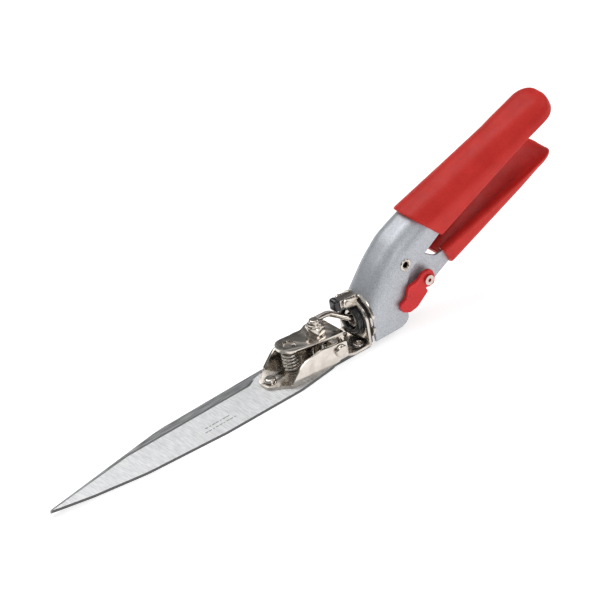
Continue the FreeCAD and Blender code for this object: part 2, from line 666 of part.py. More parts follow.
def latch_lever():
    """Rocker on the latch pin: a tooth behind the frame's ring and a tongue turned up in front."""
    outline = [(DISC_X + 0.35, SWIVEL_Z + 10.9, 0), (RING_X - 0.1, SWIVEL_Z + 10.9, 0),
               (RING_X - 0.1, SWIVEL_Z + 12.0, 0), (-22.0, LATCH_PIN_Z - 1.9, 1.0),
               (-17.4, LATCH_PIN_Z - 1.9, 1.5), (-16.4, LATCH_PIN_Z - 2.4, 0), (-14.6, LATCH_PIN_Z - 2.4, 0),
               (-14.6, LATCH_PIN_Z + 2.2, 0), (-16.0, LATCH_PIN_Z + 2.2, 0.8),
               (-19.0, LATCH_PIN_Z + 1.8, 3.0), (DISC_X + 0.35, SWIVEL_Z + 13.8, 0.4)]
    rocker = side_plate(outline, -LATCH_HALF_WIDTH, LATCH_HALF_WIDTH)
    return rocker.cut(rod_y(LATCH_PIN_X, LATCH_PIN_Z, -10, 10, LATCH_PIN_RADIUS + RUNNING_CLEARANCE))


def latch_cap():
    """Plastic cap pressed over the latch's upturned tongue."""
    cap = block(-16.2, -12.2, -3.0, 3.0, LATCH_PIN_Z - 3.4, LATCH_PIN_Z + 3.4)
    cap = cap.makeFillet(1.7, cap.Edges)
    return cap.cut(latch_lever())


def latch_spring():
    """Small coil between the frame's ring top and the latch's tongue."""
    return helix_spring(1.2, 0.3, 1.8, 3, Vector(-21.0, 0, SWIVEL_Z + 8.3))


# ---- crank and moving blade ----

def crank_plate():
    """Top plate on the pivot: a lifted round nose over the spring, a lobe for the rod and two tabs."""
    front = NOSE_X + NOSE_RADIUS
    rounding = NOSE_RADIUS - 0.1
    outline = [(front, NOSE_Y - NOSE_RADIUS, rounding), (front, NOSE_Y + NOSE_RADIUS, rounding),
               (NOSE_X, NOSE_Y + NOSE_RADIUS, 0), (-10.2, 10.2, 1.2), (-10.2, -8.6, 3.0),
               (-6.6, -10.2, 2.5), (-0.6, -10.2, 3.0), (3.0, -8.4, 4.0), (NOSE_X, NOSE_Y - NOSE_RADIUS, 0)]
    bend_x = 6.0
    profile = [(-20, CRANK_Z, 0), (bend_x, CRANK_Z, 8.0), (front, CRANK_Z + NOSE_LIFT, 0),
               (front, CRANK_TOP_Z + NOSE_LIFT, 0), (bend_x, CRANK_TOP_Z, 8.0), (-20, CRANK_TOP_Z, 0)]
    plate = flat_plate(outline, CRANK_Z - 1, CRANK_TOP_Z + 5).common(side_plate(profile, -20, 20))
    for side in (-1, 1):
        low = min(side * 8.2, side * 9.6)
        tab = side_plate([(-9.6, CRANK_Z + 0.4, 0), (-9.6, PIN_Z - 2.6, 2.0), (-2.2, PIN_Z - 2.6, 2.0),
                          (-2.2, PIN_Z + 2.4, 0.5), (-6.8, PIN_Z + 3.4, 0.5), (-6.8, CRANK_Z + 0.4, 0)],
                         low, low + 1.4)
        plate = plate.fuse(tab)
    plate = plate.fuse(rod_z(NOSE_X, NOSE_Y, SPRING_SEAT_Z - 0.8, SPRING_SEAT_Z + 0.6, 3.2))
    plate = plate.cut(rod_z(NOSE_X, NOSE_Y, SPRING_SEAT_Z + 0.5, SPRING_SEAT_Z + 6, 3.5))
    plate = plate.cut(rod_z(NOSE_X - 1.6, NOSE_Y + 1.5, 0, 30, 0.9))
    plate = plate.cut(rod_z(0, 0, 0, 30, BOLT_RADIUS + RUNNING_CLEARANCE))
    hole_y = CRANK_RADIUS * math.sin(SHUT_ANGLE)
    plate = plate.cut(rod_z(ROD_HOOK_X, hole_y, 0, 30, ROD_HOLE_RADIUS))
    return plate.cut(rod_y(PIN_X, PIN_Z, -20, 20, PIN_RADIUS))


def carrier_pin():
    """Cross pin with a domed head outside the left wall."""
    pin = rod_y(PIN_X, PIN_Z, -13.0, 12.6, PIN_RADIUS)
    head = rod_y(PIN_X, PIN_Z, 12.15, 13.9, 3.4)
    rim = [edge for edge in head.Edges if abs(edge_middle(edge).y - 13.9) < 0.01]
    head = head.makeFillet(1.2, rim)
    return pin.fuse(head)


def blade_carrier():
    """U channel riveted on the moving blade, with a tongue in front of its two walls."""
    floor = flat_plate([(-3.6, -WALL_OUTER_Y, 0), (27.0, -WALL_OUTER_Y, 1.0), (29.5, -9.0, 2.0),
                        (36.4, -4.0, 4.2), (36.4, 4.0, 4.2), (29.5, 9.0, 2.0),
                        (27.0, WALL_OUTER_Y, 1.0), (-3.6, WALL_OUTER_Y, 0)], CARRIER_Z, CARRIER_FLOOR_Z)
    wall_outline = [(-9.6, CARRIER_Z + 0.6, 1.0), (-9.6, 13.1, 1.5), (6.0, 15.2, 6.0), (18.8, 13.6, 12.0),
                    (26.6, 5.6, 2.0), (27.0, CARRIER_Z, 0), (-3.6, CARRIER_Z, 0), (-4.2, CARRIER_Z + 0.6, 0)]
    carrier = floor
    for low in (-WALL_OUTER_Y, WALL_INNER_Y):
        wall = side_plate(wall_outline, low, low + WALL_OUTER_Y - WALL_INNER_Y)
        carrier = carrier.fuse(wall)
    carrier = carrier.cut(rod_y(PIN_X, PIN_Z, -20, 20, PIN_RADIUS + RUNNING_CLEARANCE))
    carrier = carrier.cut(rod_z(0, 0, 0, CARRIER_FLOOR_Z + 1, SPACER_RADIUS + SPACER_ROOM))
    carrier = carrier.cut(rod_z(NOSE_X + 2.0, NOSE_Y, 0, CARRIER_FLOOR_Z + 1, 2.2))
    return carrier.cut(rod_z(CARRIER_RIVET_X, 0, 0, 9, CARRIER_RIVET_RADIUS))


def carrier_rivets():
    """Domed rivet that holds the carrier's tongue to the blade, flush below."""
    shank = rod_z(CARRIER_RIVET_X, 0, UPPER_BLADE_Z, CARRIER_FLOOR_Z, CARRIER_RIVET_RADIUS)
    top = CARRIER_FLOOR_Z + 2.2
    head = rod_z(CARRIER_RIVET_X, 0, CARRIER_FLOOR_Z, top, 3.2)
    return shank.fuse(rounded_rim(head, top, 1.4))


def upper_blade():
    """Moving blade: a rounded heel round the pivot, a straight cutting edge and a long taper."""
    outline = [(-7.6, -7.0, 6.0), (0.0, -12.4, 8.0), (30.0, -11.0, 8.0), (41.0, -BLADE_EDGE_Y, 10.0),
               (123.8, -BLADE_EDGE_Y + 0.4, 60.0), (BLADE_TIP_X, -1.6, 1.4), (BLADE_TIP_X, 1.4, 1.4),
               (153.0, 7.0, 60.0), (122.0, 12.4, 60.0), (73.0, BLADE_HALF_WIDTH, 60.0),
               (24.0, BLADE_HALF_WIDTH, 30.0), (0.0, 12.4, 12.0), (-7.6, 7.0, 6.0)]
    blade = flat_plate(outline, UPPER_BLADE_Z, CARRIER_Z)
    blade = blade.cut(rod_z(0, 0, 0, 9, SPACER_RADIUS + SPACER_ROOM))
    blade = blade.cut(rod_z(CARRIER_RIVET_X, 0, 0, 9, CARRIER_RIVET_RADIUS))
    return blade.cut(edge_bevel(-1, CARRIER_Z, 1))


def tension_spring():
    """Compression coil that presses the moving blade's edge on the lower blade."""
    wire = 0.7
    base = CARRIER_FLOOR_Z + wire + 0.1
    height = SPRING_SEAT_Z - 0.9 - wire - base
    return helix_spring(4.0, wire, height, 5, Vector(NOSE_X, NOSE_Y, base))


# ---- pull rod ----

def pull_rod():
    """Wire rod along the swivel axis, cranked over the top plate and hooked down into it."""
    points = [Vector(PICKUP_X - 5.0, 0, SWIVEL_Z), Vector(-22.8, 0, SWIVEL_Z),
              Vector(-13.6, ROD_HOOK_Y + 0.8, ROD_CLIMB_Z), Vector(ROD_HOOK_X, ROD_HOOK_Y, ROD_CLIMB_Z),
              Vector(ROD_HOOK_X, ROD_HOOK_Y, CRANK_Z - 1.6)]
    return wire_rod(points, [5.0, 5.0, 2.2], ROD_RADIUS)


def rod_collars():
    """Two collars on the rod, one each side of the lower lever's web."""
    collars = []
    for x in (PICKUP_X + 1.7, PICKUP_X - 3.4):
        collar = rod_x(x, x + 1.7, 3.6)
        collars.append(collar.cut(rod_x(x - 1, x + 3, ROD_RADIUS)))
    return Part.makeCompound(collars)


# ---- build ----

def main():
    os.makedirs("parts", exist_ok=True)
    for make in (body_shell, upper_grip, lower_lever, lower_grip, index_plate, swivel_eyelet, handle_rivet,
                 handle_spring, lock_pin, lock_lever, head_frame, frame_rivets, swivel_bush, latch_pin,
                 lower_blade, pivot_bolt, pivot_nut, pivot_washer, bolt_spacer, latch_lever, latch_cap,
                 latch_spring, crank_plate, carrier_pin, blade_carrier, carrier_rivets, upper_blade,
                 tension_spring, pull_rod, rod_collars):
        save(make.__name__, make())


main()
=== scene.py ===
import json
import math

import bmesh
import bpy
from mathutils import Matrix, Vector


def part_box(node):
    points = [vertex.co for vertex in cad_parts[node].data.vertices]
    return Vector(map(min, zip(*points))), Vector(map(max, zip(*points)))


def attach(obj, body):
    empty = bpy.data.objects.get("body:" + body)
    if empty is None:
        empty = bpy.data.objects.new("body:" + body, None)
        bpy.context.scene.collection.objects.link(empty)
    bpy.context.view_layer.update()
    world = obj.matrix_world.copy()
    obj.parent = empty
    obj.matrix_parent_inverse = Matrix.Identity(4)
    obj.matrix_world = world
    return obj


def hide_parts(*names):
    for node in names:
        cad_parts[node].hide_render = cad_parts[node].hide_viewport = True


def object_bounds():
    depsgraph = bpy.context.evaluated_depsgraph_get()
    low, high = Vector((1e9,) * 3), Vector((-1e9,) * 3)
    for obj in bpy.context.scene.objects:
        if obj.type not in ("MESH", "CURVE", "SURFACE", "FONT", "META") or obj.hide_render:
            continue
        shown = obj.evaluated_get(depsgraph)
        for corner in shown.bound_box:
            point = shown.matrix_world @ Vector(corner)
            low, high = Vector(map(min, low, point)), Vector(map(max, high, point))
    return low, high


# Looks for the grass shears: vinyl grips, softened metal edges, marks on the blade,
# a material for every piece, a pale floor, soft lights and the camera.
# Blender works in metres. Shapes below are given in millimetres and times MM.

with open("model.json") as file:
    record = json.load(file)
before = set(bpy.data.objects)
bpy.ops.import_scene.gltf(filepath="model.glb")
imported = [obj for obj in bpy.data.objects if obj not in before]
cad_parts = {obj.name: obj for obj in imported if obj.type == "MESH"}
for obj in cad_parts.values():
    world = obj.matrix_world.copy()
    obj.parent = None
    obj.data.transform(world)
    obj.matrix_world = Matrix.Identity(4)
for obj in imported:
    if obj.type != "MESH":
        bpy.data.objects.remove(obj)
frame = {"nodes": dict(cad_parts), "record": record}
CAD_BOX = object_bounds()

MM = 0.001
RECORD = frame["record"]
BODY_OF = {node: body for body, nodes in RECORD["behaviour"]["bodies"].items() for node in nodes}
SLOT_OF = {part["node"]: part["material_slot"] for part in RECORD["subparts"]}

# ---- camera, lights and floor ----

VIEW_WIDTH = 0.300                                  # width of what the camera sees
CAMERA_DISTANCE = 12.0
SENSOR_WIDTH = 36.0
CAMERA_RIGHT = Vector((-0.762, 0.635, -0.126))
CAMERA_UP = Vector((-0.434, -0.357, 0.827))
LOOK_AT = Vector((-8.1, -20.7, 24.2)) * MM

FLOOR_REACH = 8.0                                   # half the floor's side
SKY_STRENGTH = 0.6
SKY_BOTTOM = 0.6
SKY_STEPS = ((0.12, 0.55), (0.30, 0.16), (0.55, 0.30), (0.72, 0.95))    # height and grey
LIGHTS = (("key", (0.10, -0.55, 1.10), (1.2, 0.9), 7.5),                # place, size, power
          ("fill", (0.2, 1.0, 0.6), (0.5, 0.5), 2.4),
          ("rim", (-0.9, 0.4, 0.8), (0.7, 0.2), 2.0))


def make_camera():
    right = CAMERA_RIGHT.normalized()
    back = right.cross(CAMERA_UP).normalized()
    up = back.cross(right)
    data = bpy.data.cameras.new("camera")
    data.sensor_width = SENSOR_WIDTH
    data.lens = SENSOR_WIDTH * CAMERA_DISTANCE / VIEW_WIDTH
    data.clip_end = 2 * CAMERA_DISTANCE
    camera = bpy.data.objects.new("camera", data)
    turn = Matrix((right, up, back)).transposed().to_4x4()
    camera.matrix_world = Matrix.Translation(LOOK_AT + back * CAMERA_DISTANCE) @ turn
    bpy.context.collection.objects.link(camera)
    bpy.context.scene.camera = camera


def area_light(name, place, size, power):
    """Soft rectangular light that faces the middle of the view."""
    data = bpy.data.lights.new(name, "AREA")
    data.shape = "RECTANGLE"
    data.size = size[0]
    data.size_y = size[1]
    data.energy = power
    light = bpy.data.objects.new(name, data)
    aim = LOOK_AT - Vector(place)
    turn = aim.to_track_quat("-Z", "Y").to_matrix().to_4x4()
    light.matrix_world = Matrix.Translation(place) @ turn
    bpy.context.collection.objects.link(light)


def make_world():
    """Studio surround, bright overhead and darker at the sides, so that metal has contrast."""
    world = bpy.data.worlds.new("studio")
    bpy.context.scene.world = world
    world.use_nodes = True
    tree = world.node_tree
    background = tree.nodes["Background"]
    coordinates = tree.nodes.new("ShaderNodeTexCoord")
    split = tree.nodes.new("ShaderNodeSeparateXYZ")
    ramp = tree.nodes.new("ShaderNodeValToRGB")
    tree.links.new(coordinates.outputs["Generated"], split.inputs[0])
    tree.links.new(split.outputs["Z"], ramp.inputs[0])
    stops = ramp.color_ramp.elements
    stops[0].position = 0.0
    stops[1].position = 1.0
    for position, grey in SKY_STEPS:
        stops.new(position).color = (grey, grey, grey * 1.01, 1)
    stops[0].color = (SKY_BOTTOM, SKY_BOTTOM, SKY_BOTTOM, 1)
    stops[-1].color = (1, 1, 1, 1)
    tree.links.new(ramp.outputs[0], background.inputs["Color"])
    background.inputs["Strength"].default_value = SKY_STRENGTH


def make_floor():
    """Pale floor under the lowest point of the object."""
    reach = FLOOR_REACH
    low = CAD_BOX[0][2]
    mesh = bpy.data.meshes.new("floor")
    corners = [(-reach, -reach, low), (reach, -reach, low), (reach, reach, low), (-reach, reach, low)]
    mesh.from_pydata(corners, [], [(0, 1, 2, 3)])
    floor = bpy.data.objects.new("floor", mesh)
    bpy.context.collection.objects.link(floor)
    surface = bpy.data.materials.new("pale_floor")
    surface.use_nodes = True
    shader = surface.node_tree.nodes["Principled BSDF"]
    shader.inputs["Base Color"].default_value = (0.80, 0.80, 0.80, 1)
    shader.inputs["Roughness"].default_value = 0.9
    shader.inputs["Emission Color"].default_value = (1, 1, 1, 1)
    shader.inputs["Emission Strength"].default_value = 0.6
    mesh.materials.append(surface)


# ---- materials ----

NOISE_LOW = 0.3                 # most of a noise's values lie between these two
NOISE_HIGH = 0.7


class Finish:
    """A material under construction, with short calls for the nodes it needs."""

    def __init__(self, name, colour, roughness, metallic=0.0, coat=0.0, specular=0.5):
        self.material = bpy.data.materials.new(name)
        self.material.use_nodes = True
        self.tree = self.material.node_tree
        self.shader = self.tree.nodes["Principled BSDF"]
        self.set("Base Color", (*colour, 1))
        self.set("Roughness", roughness)
        self.set("Metallic", metallic)
        self.set("Coat Weight", coat)
        self.set("Specular IOR Level", specular)
        self.coordinates = self.tree.nodes.new("ShaderNodeTexCoord")
        self.place = self.coordinates.outputs["Object"]

    def set(self, socket, value):
        self.shader.inputs[socket].default_value = value

    def link(self, source, socket):
        self.tree.links.new(source, self.shader.inputs[socket])

    def stretched(self, scale):
        """Coordinates scaled along each axis; a small scale draws features out along it."""
        mapping = self.tree.nodes.new("ShaderNodeMapping")
        mapping.inputs["Scale"].default_value = scale
        self.tree.links.new(self.place, mapping.inputs["Vector"])
        return mapping.outputs[0]

    def noise(self, size, detail=3.0, where=None):
        """Cloudy noise whose features are about size metres across."""
        node = self.tree.nodes.new("ShaderNodeTexNoise")
        node.inputs["Scale"].default_value = 1.0 / size
        node.inputs["Detail"].default_value = detail
        self.tree.links.new(where or self.place, node.inputs["Vector"])
        return node.outputs["Fac"]

    def cells(self, size):
        """Rounded cells about size metres across."""
        node = self.tree.nodes.new("ShaderNodeTexVoronoi")
        node.feature = "SMOOTH_F1"
        node.inputs["Scale"].default_value = 1.0 / size
        self.tree.links.new(self.place, node.inputs["Vector"])
        return node.outputs["Distance"]

    def spread(self, source, low, high):
        """The source's middle range spread from low to high."""
        node = self.tree.nodes.new("ShaderNodeMapRange")
        node.inputs["From Min"].default_value = NOISE_LOW
        node.inputs["From Max"].default_value = NOISE_HIGH
        node.inputs["To Min"].default_value = low
        node.inputs["To Max"].default_value = high
        self.tree.links.new(source, node.inputs["Value"])
        return node.outputs[0]

    def colours(self, source, low, high, start=NOISE_LOW, end=NOISE_HIGH):
        """Colour that runs from low to high as the source goes from start to end."""
        node = self.tree.nodes.new("ShaderNodeValToRGB")
        first, last = node.color_ramp.elements
        first.position = start
        first.color = (*low, 1)
        last.position = end
        last.color = (*high, 1)
        self.tree.links.new(source, node.inputs[0])
        return node.outputs[0]

    def facing_up(self):
        """How squarely the piece's own surface faces up or down, from 0 to 1."""
        split = self.tree.nodes.new("ShaderNodeSeparateXYZ")
        size = self.tree.nodes.new("ShaderNodeMath")
        size.operation = "ABSOLUTE"
        self.tree.links.new(self.coordinates.outputs["Normal"], split.inputs[0])
        self.tree.links.new(split.outputs["Z"], size.inputs[0])
        return size.outputs[0]

    def times(self, first, second):
        """Product of two colours."""
        node = self.tree.nodes.new("ShaderNodeMix")
        node.data_type = "RGBA"
        node.blend_type = "MULTIPLY"
        node.inputs[0].default_value = 1.0
        self.tree.links.new(first, node.inputs[6])
        self.tree.links.new(second, node.inputs[7])
        return node.outputs[2]

    def bump(self, height, depth, strength=1.0, under=None):
        """Relief whose full height is depth metres, on top of another relief."""
        node = self.tree.nodes.new("ShaderNodeBump")
        node.inputs["Strength"].default_value = strength
        node.inputs["Distance"].default_value = depth
        self.tree.links.new(height, node.inputs["Height"])
        if under:
            self.tree.links.new(under, node.inputs["Normal"])
        self.tree.links.new(node.outputs[0], self.shader.inputs["Normal"])
        return node.outputs[0]


def hammered_paint():
    finish = Finish("hammered_paint", (0.42, 0.44, 0.47), 0.42, metallic=0.75)
    flakes = finish.noise(0.55 * MM, 3.0)
    finish.link(finish.colours(flakes, (0.36, 0.378, 0.405), (0.56, 0.583, 0.615)), "Base Color")
    finish.link(finish.spread(finish.noise(1.2 * MM), 0.42, 0.56), "Roughness")
    dimples = finish.bump(finish.noise(1.3 * MM, 2.0), 0.05 * MM, 0.7)
    finish.bump(finish.noise(0.45 * MM, 2.0), 0.025 * MM, 0.6, under=dimples)
    return finish.material


def red_vinyl():
    finish = Finish("red_vinyl", (0.54, 0.022, 0.016), 0.42, specular=0.24)
    clouds = finish.colours(finish.noise(14 * MM, 4.0), (0.52, 0.018, 0.013), (0.63, 0.028, 0.020))
    specks = finish.colours(finish.noise(0.9 * MM, 2.0), (0.88, 0.82, 0.82), (1.0, 1.0, 1.0))
    finish.link(finish.times(clouds, specks), "Base Color")
    finish.link(finish.spread(finish.noise(5 * MM), 0.40, 0.52), "Roughness")
    grain = finish.bump(finish.cells(0.8 * MM), 0.06 * MM, 0.6)
    finish.bump(finish.noise(0.25 * MM, 2.0), 0.03 * MM, 0.5, under=grain)
    return finish.material


def red_plastic():
    finish = Finish("red_plastic", (0.58, 0.018, 0.016), 0.22, coat=0.06, specular=0.26)
    finish.link(finish.spread(finish.noise(4 * MM), 0.20, 0.32), "Roughness")
    clouds = finish.noise(9 * MM)
    finish.link(finish.colours(clouds, (0.58, 0.012, 0.014), (0.68, 0.020, 0.020)), "Base Color")
    finish.bump(finish.noise(1.2 * MM, 3.0), 0.02 * MM, 0.4)
    return finish.material


def black_plastic():
    finish = Finish("black_plastic", (0.010, 0.010, 0.011), 0.22, coat=0.15)
    clouds = finish.noise(4 * MM)
    finish.link(finish.colours(clouds, (0.006, 0.006, 0.007), (0.016, 0.016, 0.017)), "Base Color")
    finish.link(finish.spread(finish.noise(3 * MM), 0.14, 0.30), "Roughness")
    finish.bump(finish.noise(0.9 * MM, 3.0), 0.02 * MM, 0.4)
    return finish.material


def nickel():
    finish = Finish("nickel", (0.72, 0.67, 0.61), 0.14, metallic=1.0)
    clouds = finish.noise(5 * MM, 4.0)
    finish.link(finish.colours(clouds, (0.50, 0.455, 0.405), (0.66, 0.615, 0.56)), "Base Color")
    finish.link(finish.spread(finish.noise(2.2 * MM, 5.0), 0.11, 0.24), "Roughness")
    waves = finish.bump(finish.noise(4.5 * MM, 1.0), 0.02 * MM, 0.35)
    finish.bump(finish.noise(0.5 * MM, 3.0), 0.006 * MM, 0.5, under=waves)
    return finish.material


def spring_steel():
    finish = Finish("spring_steel", (0.52, 0.50, 0.47), 0.24, metallic=1.0)
    clouds = finish.noise(1.6 * MM, 4.0)
    finish.link(finish.colours(clouds, (0.46, 0.43, 0.39), (0.70, 0.67, 0.62)), "Base Color")
    finish.link(finish.spread(finish.noise(1.1 * MM), 0.16, 0.34), "Roughness")
    finish.bump(finish.noise(0.35 * MM, 2.0), 0.01 * MM, 0.4)
    return finish.material


def ground_blade(name, dark, bright, side, bevel, rough, line_scale):
    """Ground steel with scratches along the axis of smallest scale, and painted shade that makes the bevel
    and side faces darker by which way they face.
    """
    finish = Finish(name, bright, 0.3, metallic=1.0)
    lines = finish.noise(1.0 * MM, 5.0, finish.stretched(line_scale))
    face = finish.colours(lines, dark, bright, 0.35, 0.65)
    # Painted shade: faces that do not point squarely up or down get the darker side and bevel greys, as if
    # they lay in shade.
    facing = finish.facing_up()
    painted_shade = finish.tree.nodes.new("ShaderNodeValToRGB")
    stops = painted_shade.color_ramp.elements
    stops[0].position = 0.0
    stops[0].color = (side, side, side, 1)
    stops[1].position = 1.0
    stops[1].color = (1, 1, 1, 1)
    for position, grey in ((0.60, side), (0.80, bevel), (0.985, bevel), (0.995, 1.0)):
        stops.new(position).color = (grey, grey, grey, 1)
    finish.tree.links.new(facing, painted_shade.inputs[0])
    finish.link(finish.times(face, painted_shade.outputs[0]), "Base Color")
    finish.link(finish.spread(lines, *rough), "Roughness")
    scratches = finish.bump(lines, 0.01 * MM, 0.5)
    finish.bump(finish.noise(9 * MM, 2.0), 0.04 * MM, 0.15, under=scratches)
    return finish.material


def etched_mark():
    finish = Finish("etched_mark", (0.20, 0.20, 0.20), 0.5, metallic=0.8)
    grain = finish.noise(0.4 * MM)
    finish.link(finish.colours(grain, (0.16, 0.16, 0.16), (0.30, 0.30, 0.30)), "Base Color")
    finish.bump(grain, 0.02 * MM, 0.5)
    return finish.material


def make_materials():
    return {
        "hammered_paint": hammered_paint(),
        "red_vinyl": red_vinyl(),
        "red_plastic": red_plastic(),
        "black_plastic": black_plastic(),
        "nickel": nickel(),
        "spring_steel": spring_steel(),
        # The two numbers after the colours are painted shade greys, one for side faces and one for bevel
        # faces.
        "ground_steel": ground_blade("ground_steel", (0.24, 0.245, 0.25), (0.50, 0.505, 0.51),
                                     0.30, 0.8, (0.28, 0.40), (0.10, 1.6, 1.6)),
        "blade_steel": ground_blade("blade_steel", (0.70, 0.705, 0.71), (0.90, 0.905, 0.91),
                                    0.14, 0.24, (0.42, 0.54), (2.4, 0.22, 2.4)),
        "etched_mark": etched_mark(),
    }


# ---- pieces ----

def finish_piece(piece, body, slot, *replaced):
    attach(piece, body)
    if replaced:
        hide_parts(*replaced)


def new_piece(name, mesh, material):
    piece = bpy.data.objects.new(name, mesh)
    bpy.context.collection.objects.link(piece)
    mesh.materials.clear()
    mesh.materials.append(material)
    return piece


# Nodes whose edges are broken, and how wide.
SOFTENED = (("body_shell", 0.3), ("lower_lever", 0.3), ("crank_plate", 0.22), ("blade_carrier", 0.22),
            ("head_frame", 0.2), ("index_plate", 0.2), ("latch_lever", 0.3), ("pivot_nut", 0.15),
            ("swivel_bush", 0.4), ("latch_cap", 0.9))
WELD_GAP = 0.002                # vertices nearer than this are one, in millimetres
FLAT_ANGLE = 0.6                # faces that meet at less than this are one flat face, in degrees
EDGE_ANGLE = 38                 # edges sharper than this are rounded, in degrees
EDGE_STEPS = 3


def softened(node, width):
    """The node's own shape again with its sharp edges broken by a small round."""
    mesh = frame["nodes"][node].data.copy()
    work = bmesh.new()
    work.from_mesh(mesh)
    bmesh.ops.remove_doubles(work, verts=work.verts, dist=WELD_GAP * MM)
    bmesh.ops.dissolve_limit(work, angle_limit=math.radians(FLAT_ANGLE),
                             verts=work.verts, edges=work.edges)
    for face in work.faces:
        face.smooth = True
    work.to_mesh(mesh)
    work.free()
    piece = new_piece(node + "_soft", mesh, MATERIALS[SLOT_OF[node]])
    bevel = piece.modifiers.new("edges", "BEVEL")
    bevel.width = width
    bevel.segments = EDGE_STEPS
    bevel.limit_method = "ANGLE"
    bevel.angle_limit = math.radians(EDGE_ANGLE)
    bevel.harden_normals = True
    bevel.use_clamp_overlap = True
    finish_piece(piece, BODY_OF[node], SLOT_OF[node], node)


def arc(centre, radii, start, end, count):
    """Points on an ellipse arc, angles in degrees, both ends included."""
    points = []
    for step in range(count):
        angle = math.radians(start + (end - start) * step / (count - 1))
        points.append((centre[0] + radii[0] * math.cos(angle), centre[1] + radii[1] * math.sin(angle)))
    return points


def run(start, end, count):
    """Points strictly between two ends."""
    return [(start[0] + (end[0] - start[0]) * step / (count + 1),
             start[1] + (end[1] - start[1]) * step / (count + 1)) for step in range(1, count + 1)]


OUTER_CORNER = 7                # points in each part of a channel's section
OUTER_FLOOR = 5
OUTER_SIDE = 4
RIM = 5
INNER_SIDE = 3
INNER_CORNER = 5
INNER_FLOOR = 5
CROWN = 2 * OUTER_CORNER + OUTER_FLOOR + OUTER_SIDE + RIM // 2     # point on top of the first rim


def channel_section(half, height, wall, floor, rounding, rim):
    """Closed U section as (across, depth) points; depth 0 is the closed side."""
    rounding = min(rounding, half * 0.98, (height - rim) * 0.9)
    inner_half = half - wall
    inner_rounding = min(rounding * 0.6, inner_half * 0.9, max(height - rim - floor, 0.01) * 0.9)
    outer_top = height - rim
    section = []
    section += arc((half - rounding, rounding), (rounding, rounding), 0, -90, OUTER_CORNER)
    section += run((half - rounding, 0), (-half + rounding, 0), OUTER_FLOOR)
    section += arc((-half + rounding, rounding), (rounding, rounding), -90, -180, OUTER_CORNER)
    section += run((-half, rounding), (-half, outer_top), OUTER_SIDE)
    section += arc((-half + wall / 2, outer_top), (wall / 2, rim), 180, 0, RIM)
    section += run((-inner_half, outer_top), (-inner_half, floor + inner_rounding), INNER_SIDE)
    section += arc((-inner_half + inner_rounding, floor + inner_rounding),
                   (inner_rounding, inner_rounding), 180, 270, INNER_CORNER)
    section += run((-inner_half + inner_rounding, floor), (inner_half - inner_rounding, floor),
                   INNER_FLOOR)
    section += arc((inner_half - inner_rounding, floor + inner_rounding),
                   (inner_rounding, inner_rounding), 270, 360, INNER_CORNER)
    section += run((inner_half, floor + inner_rounding), (inner_half, outer_top), INNER_SIDE)
    section += arc((half - wall / 2, outer_top), (wall / 2, rim), 180, 0, RIM)
    section += run((half, outer_top), (half, rounding), OUTER_SIDE)
    return section


def eased(value):
    value = min(max(value, 0.0), 1.0)
    return value * value * (3 - 2 * value)


def mix(first, second, share):
    return first + (second - first) * share


# half: half the width. wall, floor, rim: thicknesses, and the rim's height. rounding: of the
# long outer edges. end_length, end_blunt, droop: the rear end's length, squareness and fall.
# waist, taper: share of the width lost in the middle and at the rear. lip: the front edge's
# rounding. scoop: where along the grip the channel starts to rise and where it has filled up.
UPPER_SHAPE = {"half": 12.9, "wall": 4.3, "floor": 4.3, "rim": 1.2, "rounding": 10.4, "steps": 22,
               "end_steps": 9, "end_length": 10.4, "end_blunt": 0.72, "waist": 0.02, "lip": 0.6,
               "scoop": (0.80, 0.97), "taper": 0.0, "droop": 0.0}
LOWER_SHAPE = {"half": 12.9, "wall": 5.6, "floor": 3.6, "rim": 1.1, "rounding": 3.4, "steps": 20,
               "end_steps": 11, "end_length": 10.8, "end_blunt": 0.85, "waist": 0.0, "lip": 0.6,
               "scoop": (0.45, 0.88), "taper": 0.05, "droop": 5.4}
# Front and rear of each grip's closed side and of its rim, as (x, z).
UPPER_CLOSED = ((-62.2, 57.0), (-147.0, 82.0))
UPPER_RIM = ((-77.0, 41.2), (-149.6, 72.4))
LOWER_CLOSED = ((-80.8, 22.2), (-145.0, 48.0))
LOWER_RIM = ((-76.6, 33.0), (-144.6, 51.7))
LIP_SHARE = 0.006               # share of the length over which the front lip rounds off
END_SWEEP = 86                  # degrees of the rear end's curve that get a ring
END_FALL = 0.8                  # how squarely the depth falls off over the rear end
TAPER_START = 0.75              # share of the length where the taper begins
RIM_SHARE = 0.3                 # most of the depth that the rim may take
FILLED_RIM = 0.35               # what is left of the rim where the channel has filled up


